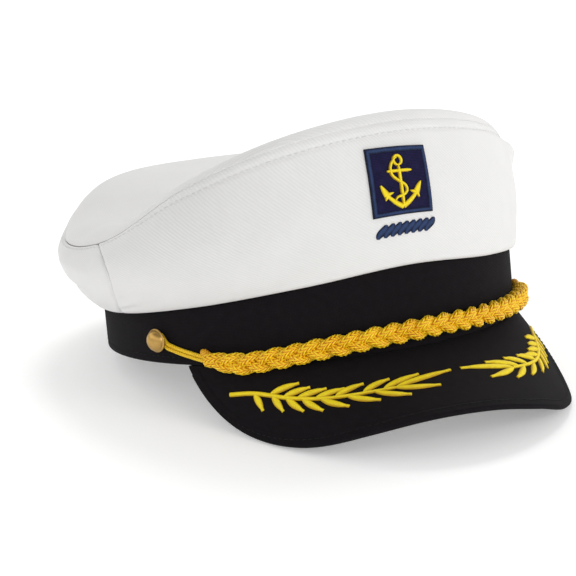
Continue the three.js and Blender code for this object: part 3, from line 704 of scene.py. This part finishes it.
def visorCloth():
    shares = 0.999 * np.sin(np.radians(np.linspace(-90, 90, 240)))
    outs = np.concatenate([np.linspace(0, 0.82, 26), np.linspace(0.84, 1, 18)])
    share, out = np.meshgrid(shares, outs, indexing="ij")
    face, up = visorPoint(share, out), visorUp(share, out)
    rim = visorPoint(shares, 1 + 0 * shares)
    toRim = np.linalg.norm(face[:, :, None] - rim[None, None, ::2], axis=-1).min(-1)
    lift = visor["bindingHigh"] * (1 - ease(visor["bindingWide"] - 0.5, visor["bindingWide"], toRim))
    lift = lift - 0.2 * np.exp(-(((toRim - visor["bindingWide"] - 0.35) / 0.4) ** 2))
    lift = lift * ease(0, 0.12, out)
    under = face - up * (visor["wall"] + 0.5 * lift)[..., None]
    top = face + up * lift[..., None] * 0.5
    # the bound edge is round, seen from its end
    edgeTop, edgeUnder = top[:, -1], under[:, -1]
    middle, half = (edgeTop + edgeUnder) / 2, (edgeTop - edgeUnder) / 2
    outwards = unit(np.cross(np.gradient(rim, axis=0), half))
    fromMiddle = rim - visorPoint(shares, 0.5 + 0 * shares)
    outwards = outwards * np.sign((outwards * fromMiddle).sum(-1, keepdims=True))
    turns = np.radians(np.linspace(90, -90, 9))[1:-1]
    nose = middle[:, None] + half[:, None] * np.sin(turns)[None, :, None]
    nose = nose + outwards[:, None] * (np.cos(turns) * 0.9)[None, :, None]
    shelf = ovalPoint(shares * visor["halfAngle"], -oval["bandWall"], -visor["gap"])
    shelfUnder = shelf - np.array([0, 0, visor["wall"]])
    loop = np.concatenate([shelf[:, None], top, nose, under[:, ::-1], shelfUnder[:, None]], 1)
    # the two low corners press flat on the table
    sunk = np.maximum(0, visor["clear"] - toFloor(loop)[..., 2] / mm)
    loop = loop + sunk[..., None] * floorUp
    steps = np.cumsum(np.linalg.norm(np.diff(loop, axis=1), axis=-1), 1)
    run = np.concatenate([np.zeros((len(shares), 1)), steps, steps[:, -1:] + visor["wall"]], 1)
    side = np.repeat((shares * visor["halfAngle"] * band["perDegree"])[:, None], run.shape[1], 1)
    shape = Shape()
    shape.loops(loop, np.stack([side, run], -1) * mm, closedV=True, capEnds=True)
    shape.make("visor_cloth", blackCloth, ["visor"])
    # one row of stitching holds the binding
    inset = 1 - (visor["bindingWide"] - 1.0) / np.maximum(visorLength(shares), 8)
    keep = np.abs(shares) < 0.955
    line = visorPoint(shares, inset)[keep] + (visorUp(shares, inset) * 0.22)[keep]
    stitches = Shape()
    stitchRow(stitches, line, visorUp(shares, inset)[keep], visor["thread"])
    stitches.make("visor_stitching", blackThread)


visorCloth()
print("visor made")

# cord: three knitted strands plaited over the visor, and a plain cord
# that leaves each end of the plait doubled and loops round a button
cord = {
    "spread": 2.85, "depth": 1.7, "turns": 8, "endAngle": 62, "clearance": 0.3, "cutUp": 2.9,
    "halfHigh": 4.65, "halfDeep": 3.25,  # the room that the whole plait takes
    # where the plait runs: angles round the band, and heights as shares of the band's
    "stations": [-74, -68, -62, -52, -43, -30, -15, 0, 15, 30, 43, 52, 62, 68, 74],
    "ups": [0.21, 0.125, 0.09, 0.04, 0.075, 0.145, 0.195, 0.215,
            0.195, 0.175, 0.165, 0.16, 0.165, 0.18, 0.22],
    # what is knitted: columns of loops round it, their pitch and depth, and how finely it is built
    "strand": {"thick": 4.6, "columns": 4, "pitch": 2.1, "depth": 0.62, "sides": 30, "step": 0.34},
    "plain": {"thick": 1.85, "columns": 3, "pitch": 1.35, "depth": 0.36, "sides": 16, "step": 0.2},
    "cutEnd": {"thick": 3.7, "columns": 4, "pitch": 1.2, "depth": 0.25, "sides": 18, "step": 0.2},
}
button = {"width": 10.8, "dome": 4.2, "rim": 0.42, "step": 0.55, "shank": 2.4, "angle": 77.7, "up": 11.2}


def cordUp(angle):
    held = np.clip(angle, cord["stations"][0], cord["stations"][-1])
    index = np.interp(held, cord["stations"], np.arange(len(cord["stations"])))
    return smoothAt(cord["ups"], index, False) * oval["bandHeight"]


def plaitOut(angle, up):
    # on the band, or pushed out until it clears the visor where it hangs low
    halfHigh, halfDeep = cord["halfHigh"], cord["halfDeep"]
    lean = onVisor(np.clip(angle, -67, 67), 2 + 0 * np.asarray(angle, float))[1]
    flat = np.hypot(lean[..., 0], lean[..., 1])
    room = np.hypot(halfDeep * flat, halfHigh * lean[..., 2]) + 2 * cord["clearance"]
    return np.maximum(halfDeep + cord["clearance"], (room - (up + cord["clearance"]) * lean[..., 2]) / flat)


def knit(at, turn, columns, pitch):
    # chevrons of little loops, column beside column: 1 on a loop, 0 between
    column = turn / math.tau * columns
    side = column - np.floor(column) - 0.5
    leg = np.abs(np.sin(math.tau * side)) ** 0.55
    row = at / pitch - 1.15 * np.abs(side) * 2 + 0.5 * (np.floor(column) % 2)
    loop = (0.5 + 0.5 * np.cos(math.tau * row)) ** 0.8
    return loop * (0.25 + 0.75 * leg)


def knittedTube(shape, path, outward, yarn):
    both, at = resample(np.concatenate([path, outward], 1), yarn["step"])
    line, out = both[:, :3], unit(both[:, 3:])
    sides, half = yarn["sides"], yarn["thick"] / 2
    turn = np.arange(sides) * math.tau / sides
    loops = knit(at[:, None], turn[None, :], yarn["columns"], yarn["pitch"])
    radius = half - yarn["depth"] + yarn["depth"] * loops
    near = np.clip(np.minimum(at, at[-1] - at) / half, 0.02, 1)  # both ends are round
    radius = radius * np.sqrt(near * (2 - near))[:, None]
    # painted light: a painted highlight on each loop, painted shade in the crevices between them
    tube(shape, line, out, radius, sides, shade=0.1 + 0.9 * loops)


def strandPath(phase):
    share = np.linspace(0, 1, 900)
    angle = cord["endAngle"] * (2 * share - 1)
    swing = math.tau * (share * cord["turns"] + phase)
    calm = np.minimum(1, 0.25 + 12 * np.minimum(share, 1 - share))
    up = cordUp(angle)
    out = plaitOut(angle, up) + cord["depth"] * calm * np.sin(2 * swing)
    return ovalPoint(angle, out, up + cord["spread"] * calm * np.sin(swing)), ovalOut(angle)


def loopPath(side):
    thick = cord["plain"]["thick"]
    low = cord["clearance"] + thick / 2
    loop = (button["shank"] + thick) / 2 + cord["clearance"]
    perMillimetre = 360 / (math.pi * 2 * (oval["halfLength"] + low))
    inPlait = cord["endAngle"] - 4
    share = np.linspace(0, 1, 60)
    angle = inPlait + share * (button["angle"] - 1.2 - inPlait)
    plaitEnd = np.array(side * inPlait)
    startUp = cordUp(plaitEnd)
    # sagging to the dome's edge, then up to the shank, out of sight
    up = startUp + (button["up"] - 1.6 - startUp) * share ** 1.5 + 1.6 * ease(0.88, 1, share)
    out = low + (plaitOut(plaitEnd, startUp) - low) * np.maximum(0, 1 - 2 * share) ** 1.5
    spread = thick / 2 + (loop - thick / 2) * share ** 20
    runs = [ovalPoint(side * angle, out, up + pair * spread) for pair in (1, -1)]
    turn = np.radians(np.linspace(90, -90, 24))[1:-1]
    bend = ovalPoint(side * (button["angle"] - 1.2 + loop * np.cos(turn) * perMillimetre), low,
                     button["up"] + loop * np.sin(turn))
    whole = np.concatenate([runs[0], bend, runs[1][::-1]])
    aside = ovalOut(side * angle)
    return whole, np.concatenate([aside, ovalOut(side * button["angle"] + 0 * turn), aside[::-1]])


def plaitedCord():
    shape = Shape()
    for phase in (0, 1 / 3, 2 / 3):
        knittedTube(shape, *strandPath(phase), cord["strand"])
    shape.make("plait", goldCord, ["plaited_cord"])
    plain = Shape()
    for side in (-1, 1):
        knittedTube(plain, *loopPath(side), cord["plain"])
    plain.make("plain_cord", brightCord)
    # a cut strand end, sewn down behind each end of the plait
    ends = Shape()
    for side in (-1, 1):
        angle = side * (cord["endAngle"] - np.linspace(-1.3, 2.5, 14))
        up = cordUp(angle) + cord["cutUp"] - 2.6 * np.linspace(0, 1, 14) ** 2
        out = 1.3 + (plaitOut(angle, up) - 1.3) * np.linspace(0.2, 0.9, 14)
        knittedTube(ends, ovalPoint(angle, out, up), ovalOut(angle), cord["cutEnd"])
    # the ends take the shaded copy of the gold cord: painted shade
    ends.make("strand_ends", shadedGoldCord)


plaitedCord()
print("cord plaited")


# buttons: brass domes with a rolled rim
def brassButton(name, side, replaced):
    half, foot = button["width"] / 2, cord["clearance"]
    under = foot + cord["plain"]["thick"] + cord["clearance"]
    rimTurn = np.radians(np.linspace(-90, 80, 9))
    domeTurn = np.radians(np.linspace(8, 90, 18))
    profile = [(0.001, foot), (button["shank"] / 2, foot), (button["shank"] / 2, under), (half - 0.9, under)]
    rim, step = button["rim"], button["step"]
    profile += [(half - rim + rim * math.cos(t), under + rim + rim * math.sin(t)) for t in rimTurn]
    profile += [((half - 0.5) * math.cos(t), under + step + (button["dome"] - step) * math.sin(t))
                for t in domeTurn]
    profile[-1] = (0.001, profile[-1][1])
    profile = np.array(profile)
    turn = np.arange(72) * math.tau / 72
    angle = side * button["angle"]
    centre = ovalPoint(angle, 0, button["up"])
    out = ovalOut(angle)
    across = unit(np.cross(out, np.array([0, 0, 1.0])))
    upwards = np.cross(across, out)
    ring = np.cos(turn)[:, None] * across + np.sin(turn)[:, None] * upwards
    grid = centre + ring[:, None] * profile[None, :, :1] + out * profile[None, :, 1:]
    cloth = np.zeros((73, len(profile), 2))
    shape = Shape()
    shape.loops(grid, cloth, closedU=True)
    shape.make(name, brass, [replaced], sharp=35)


brassButton("brass_button_left", -1, "button_left")
brassButton("brass_button_right", 1, "button_right")
print("buttons made")


# satin stitching: padded runs of thread laid across a path
def satinRun(shape, points, normals, halfWide, high, pitch=0.55, slant=0.5, ridge=0.05):
    ahead = unit(np.gradient(points, axis=0))
    side = unit(np.cross(ahead, normals))
    run = lengthAlong(points)
    across = np.cos(np.linspace(math.pi, 0, 12))
    crest = np.maximum(0, 1 - np.abs(across) ** 2.4) ** 0.5
    ripple = np.cos(math.tau * (run[:, None] / pitch + slant * across[None, :]))
    high = np.asarray(high, float)
    high = high[:, None] if high.ndim else high
    lift = 0.12 + high * crest[None, :] + ridge * ripple * crest[None, :] ** 0.5
    wide = halfWide[:, None] * across[None, :]
    top = points[:, None] + side[:, None] * wide[..., None] + normals[:, None] * lift[..., None]
    floor = points[:, None] + side[:, None] * (wide[:, ::-1])[:, [0, -1], None] - normals[:, None] * 0.25
    loop = np.concatenate([top, floor], 1)
    # painted light: a painted highlight along the crest, a little to one side of the middle, painted shade
    # at the edges, and lighter and darker bands along the thread ridges
    shade = 0.15 + 0.65 * np.maximum(0, 1 - np.abs(across + 0.15)) ** 0.7 + 0.2 * (0.5 + 0.5 * ripple)
    shade = np.concatenate([shade, np.zeros((len(points), 2))], 1)
    reach = np.concatenate([across, across[[-1, 0]], across[:1]]) * 2
    shape.loops(loop, clothGrid(run, reach), shade, closedV=True, capEnds=True)


# leaf sprigs on the visor
sprig = {
    "start": -60.2, "end": -1.7, "leafWide": 3.2, "leafHigh": 0.75, "stemWide": 2.1, "stemHigh": 0.8,
    "stemAlong": [0, 0.12, 0.25, 0.38, 0.52, 0.69],
    "stemDown": [0.31, 0.33, 0.435, 0.505, 0.525, 0.52],
}
# where each leaf leaves the stem, how far forward its point lies and how far down from its base
leaves = [
    (0.17, 0.16, -0.1), (0.22, 0.14, -0.075), (0.27, 0.15, -0.065), (0.34, 0.15, -0.07),
    (0.42, 0.16, -0.12), (0.54, 0.16, -0.14), (0.63, 0.21, -0.14), (0.685, 0.315, -0.12),
    (0.11, -0.01, 0.2), (0.18, 0.0, 0.195), (0.23, 0.03, 0.19), (0.29, 0.045, 0.185),
    (0.36, 0.085, 0.16), (0.47, 0.115, 0.13), (0.59, 0.135, 0.125), (0.685, 0.2, 0.065),
]


def stemDown(along):
    index = np.interp(along, sprig["stemAlong"], np.arange(len(sprig["stemAlong"])))
    return smoothAt(sprig["stemDown"], index, False) * visor["reach"]


def leafSprig(name, mirror, replaced):
    shape = Shape()
    sweep = sprig["end"] - sprig["start"]

    def lay(along, down, halfWide, high, slant):
        path = np.stack([along, down], -1)
        points, normals = onVisor(mirror * (sprig["start"] + path[:, 0] * sweep), path[:, 1])
        both, at = resample(np.concatenate([points, normals], 1), 0.14)
        wide = stretch(halfWide, len(at))
        rise = high * np.minimum(1, wide / wide.max() + 0.25)
        satinRun(shape, both[:, :3], unit(both[:, 3:]), wide, rise, slant=slant)

    along = np.linspace(0, sprig["stemAlong"][-1], 60)
    taper = 0.5 * sprig["stemWide"] * (1 - 0.35 * np.linspace(0, 1, 60) ** 2)
    lay(along, stemDown(along), taper, sprig["stemHigh"], 0.8)
    for base, forward, down in leaves:
        share = np.linspace(0, 1, 40)
        bow = 2 * share * (1 - share)
        reach = down * visor["reach"]
        upper = down < 0
        along = base + forward * (bow * (0.38 if upper else 0.3) + share ** 2)
        fall = stemDown(np.array(base)) + reach * (bow * (0.68 if upper else 0.55) + share ** 2)
        width = np.maximum(np.sin(math.pi * share ** 0.85) ** 0.7, 0.28 * (share > 0.5) + 0.2)
        lay(along, fall, sprig["leafWide"] / 2 * width, sprig["leafHigh"], 0.7)
    shape.make(name, goldThread, [replaced])


leafSprig("leaf_sprig_left", 1, "sprig_left")
leafSprig("leaf_sprig_right", -1, "sprig_right")
print("sprigs stitched")

# badge: patch, satin border and anchor, on the crown's front
badge = {
    "width": 30.6, "height": 30.6, "turn": 0.6, "up": 0.645, "lean": 0.073, "slope": 0.062, "ease": 0.0025,
    "border": 2.6, "borderHigh": 0.95, "inset": 1.2, "patchHigh": 0.9, "thread": 0.5,
}
badgeMiddle = crownBase(badge["turn"], badge["up"])
perWay = np.linalg.norm(crownBase(badge["turn"], badge["up"] + 0.01) - badgeMiddle) / 0.01
perDegree = np.linalg.norm(crownBase(badge["turn"] + 1, badge["up"]) - badgeMiddle)


def onCrown(across, up):
    across, up = np.asarray(across, float), np.asarray(up, float)
    slanted = across + up * badge["lean"] + across * up * badge["ease"]
    angle = badge["turn"] + slanted / perDegree
    return crownSide(angle, badge["up"] + (up - across * badge["slope"]) / perWay)


def badgePatch():
    halfWide, halfHigh = badge["width"] / 2 - badge["inset"], badge["height"] / 2 - badge["inset"]
    columns, rows = np.linspace(-halfWide, halfWide, 90), np.linspace(-halfHigh, halfHigh, 80)
    across, up = np.meshgrid(columns, rows, indexing="ij")
    base, normals = onCrown(across, up)
    lift = badge["patchHigh"] + 0.06 * softNoise(across, up, 7, 31)
    shape = Shape()
    top = base + normals * lift[..., None]
    clothShell(shape, top, badge["patchHigh"] + 0.3, across * mm, up * mm)
    shape.make("badge_cloth", navyCloth, ["badge_patch"])


def badgeBorder():
    # threads lie square to each edge and meet in a mitre at the corners
    along = np.linspace(-1, 1, 200)[:-1]
    ones = 1 + 0 * along
    turned = [(along, ones), (ones, -along), (-along, -ones), (-ones, along)]
    x, y = (np.concatenate([side[k] for side in turned]) for k in (0, 1))
    run = np.concatenate([along, along, along, along]) * badge["width"] / 2
    inward = np.linspace(0, 1, 13)
    half = badge["width"] / 2 - badge["border"] * inward
    crest = np.maximum(0, 1 - np.abs(2 * inward - 1) ** 2.6) ** 0.5
    ripple = np.cos(math.tau * run[:, None] / badge["thread"] + 1.5 * inward[None, :])
    lift = 0.1 + badge["borderHigh"] * crest[None, :] + 0.05 * ripple * crest[None, :]
    base, normals = onCrown(x[:, None] * half[None, :], y[:, None] * half[None, :])
    top = base + normals * (lift + 0.2)[..., None]
    loop = np.concatenate([top, (base - normals * 0.15)[:, [-1, 0]]], 1)
    middleLit = 0.8 * np.maximum(0, 1 - np.abs(2 * inward - 1)) ** 0.8
    shade = middleLit[None, :] + 0.2 * (0.5 + 0.5 * ripple)
    shade = np.concatenate([shade, np.zeros((len(x), 2))], 1)
    across = np.concatenate([inward, [1, 0, 0]]) * badge["border"]
    cloth = clothGrid(np.append(run, run[0]), across)
    shape = Shape()
    shape.loops(loop[::-1], cloth, shade[::-1], closedU=True, closedV=True)
    shape.make("badge_satin_border", navyThread, ["badge_border"])


# the anchor, in millimetres from the badge's middle
anchor = {
    "middle": -0.3, "ringUp": 9.4, "ring": 1.95, "ringWide": 1.35,
    "shankTop": 7.4, "shankFoot": -10.4, "shankWide": 1.6,
    "stockUp": 4.95, "stock": 6.0, "stockWide": 1.5,
    "armFoot": -11.3, "armBend": (3.7, -8.9), "armEnd": (7.8, -5.0), "armWide": 2.0,
    "flukeTip": (10.0, -0.5), "flukeIn": (4.3, -4.3), "flukeOut": (8.4, -7.7), "flukeRoot": (7.4, -5.2),
    "rope": [(-0.9, 10.6), (-2.5, 9.6), (-4.3, 6.9), (-4.2, 3.5), (-1.3, 0.7), (1.7, -1.5), (2.2, -4.1),
             (0.2, -5.9), (-2.7, -6.6), (-3.9, -8.1)],
    "ropeWide": 1.35, "high": 0.75,
}


def smoothPath(corners, steps):
    at = np.linspace(0, len(corners) - 1, (len(corners) - 1) * steps + 1)
    return np.stack([smoothAt(corners[:, k], at, False) for k in (0, 1)], -1)


def anchorStitching():
    shape = Shape()

    def lay(path, halfWide, lift=0.0, slant=0.4):
        path = np.asarray(path, float) + np.array([anchor["middle"], 0])
        line, at = resample(path, 0.12)
        base, normals = onCrown(line[:, 0], line[:, 1])
        wide = stretch(halfWide, len(at))
        points = base + normals * (badge["patchHigh"] + lift)
        satinRun(shape, points, normals, wide, anchor["high"], slant=slant, ridge=0.04)

    def plain(width):
        return width / 2 * np.array([0.6, 1, 1, 1, 1, 1, 1, 0.6])

    turn = np.radians(np.linspace(-90, 270, 60))
    lay(np.stack([anchor["ring"] * np.cos(turn), anchor["ringUp"] + anchor["ring"] * np.sin(turn)], -1),
        plain(anchor["ringWide"]))
    lay([(0, anchor["shankTop"]), (0.2, anchor["shankFoot"])], plain(anchor["shankWide"]), lift=0.12)
    lay([(-anchor["stock"], anchor["stockUp"] + 0.1), (anchor["stock"], anchor["stockUp"] - 0.1)],
        plain(anchor["stockWide"]), lift=0.05)
    for side in (-1, 1):
        bends = np.array([(0, anchor["armFoot"]), anchor["armBend"], anchor["armEnd"]]) * (side, 1)
        lay(smoothPath(bends, 24), anchor["armWide"] / 2 * np.array([1.2, 1.1, 0.95, 0.8]))
        root = np.array(anchor["flukeRoot"]) * (side, 1)
        for point, width in (("flukeTip", 3.2), ("flukeIn", 2.0), ("flukeOut", 2.0)):
            taper = width / 2 * np.array([1.0, 0.85, 0.6, 0.2])
            lay([root, np.array(anchor[point]) * (side, 1)], taper, lift=0.04)
    rope = smoothPath(np.array(anchor["rope"]) - (anchor["middle"], 0), 12)
    lay(rope, plain(anchor["ropeWide"]), lift=0.2, slant=1.2)
    shape.make("anchor_stitching", goldThread, ["anchor"])


# rope bar: a stitched twist of rope under the badge
ropeBar = {
    "width": 32.5, "height": 7.6, "drop": 22.3, "aside": 1, "slope": 0.037,
    "twists": 8, "slant": 2.0, "high": 0.6, "gap": 0.07,
}


def ropeStitching():
    shape = Shape()
    pitch = (ropeBar["width"] - 2 * ropeBar["slant"]) / ropeBar["twists"]
    for twist in range(ropeBar["twists"]):
        middle = (twist - (ropeBar["twists"] - 1) / 2) * pitch
        share = np.linspace(-1, 1, 40)
        across = middle + ropeBar["slant"] * (share + 0.35 * np.sin(math.pi * share))
        up = -ropeBar["drop"] + ropeBar["height"] / 2 * 0.94 * share + across * ropeBar["slope"]
        across = across + ropeBar["aside"]
        line, at = resample(np.stack([across, up], -1), 0.12)
        base, normals = onCrown(line[:, 0], line[:, 1])
        s = np.linspace(0, 1, len(at))
        wide = pitch * (0.5 - ropeBar["gap"]) * np.maximum(np.sin(math.pi * s), 0.0) ** 0.35 + 0.12
        satinRun(shape, base, normals, wide, ropeBar["high"], pitch=0.5, slant=0.3)
    shape.make("rope_stitching", navyThread, ["rope_bar"])


badgePatch()
badgeBorder()
anchorStitching()
ropeStitching()
print("badge sewn on")

# floor and light
studio = {
    "sky": 1.25, "floorGlow": 0.29, "target": (0, 0, 0.06),
    "walls": [(0.0, 0.3), (0.14, 0.35), (0.22, 1.0), (0.6, 1.05), (0.7, 0.3), (1.0, 0.2)],  # height, gray
    "lamps": {
        "key": {"power": 9, "place": (0.75, 0.9, 1.6), "size": 0.6},
        "fill": {"power": 7.4, "place": (0.8, -1.65, 0.7), "size": 1.0},
        "side": {"power": 0.4, "place": (-1.5, 0.85, 0.42), "size": 0.4},
    },
}
floorMesh = bpy.data.meshes.new("floor")
floorMesh.from_pydata([(-12, -12, 0), (12, -12, 0), (12, 12, 0), (-12, 12, 0)], [], [(0, 1, 2, 3)])
floorPaint, floorTree, floorShader = newMaterial("pale floor", (0.9, 0.9, 0.9), 0.9, specular=0.0)
colorRamp(floorTree, floorShader, noise(floorTree, None, 3, 2),
          [(0.3, (0.89, 0.89, 0.885)), (0.7, (0.91, 0.91, 0.905))])
# a light table: the floor glows a little, which keeps the shadows soft
setInputs(floorShader, {"Emission Color": (1, 1, 1, 1), "Emission Strength": studio["floorGlow"]})
floorMesh.materials.append(floorPaint)
floor = newObject("floor", floorMesh)

world = bpy.data.worlds.new("studio")
world.use_nodes = True
skyTree = world.node_tree
skyTree.nodes["Background"].inputs["Strength"].default_value = studio["sky"]
# white walls between a dim edge and a dim ceiling, so that the brass has something to reflect
heading = skyTree.nodes.new("ShaderNodeTexCoord")
parts = skyTree.nodes.new("ShaderNodeSeparateXYZ")
skyTree.links.new(heading.outputs["Generated"], parts.inputs["Vector"])
walls = [(up, (gray,) * 3) for up, gray in studio["walls"]]
colorRamp(skyTree, skyTree.nodes["Background"], parts.outputs["Z"], walls, "Color")
bpy.context.scene.world = world

for name, lamp in studio["lamps"].items():
    light = bpy.data.lights.new(name, "AREA")
    light.shape, light.size, light.energy = "DISK", lamp["size"], lamp["power"]
    holder = newObject(name, light)
    holder.location = Vector(lamp["place"])
    holder.rotation_mode = "QUATERNION"
    holder.rotation_quaternion = (Vector(studio["target"]) - Vector(lamp["place"])).to_track_quat("-Z", "Y")
bpy.context.scene.view_settings.view_transform = "Standard"
bpy.context.scene.view_settings.look = "None"
print("studio lit")
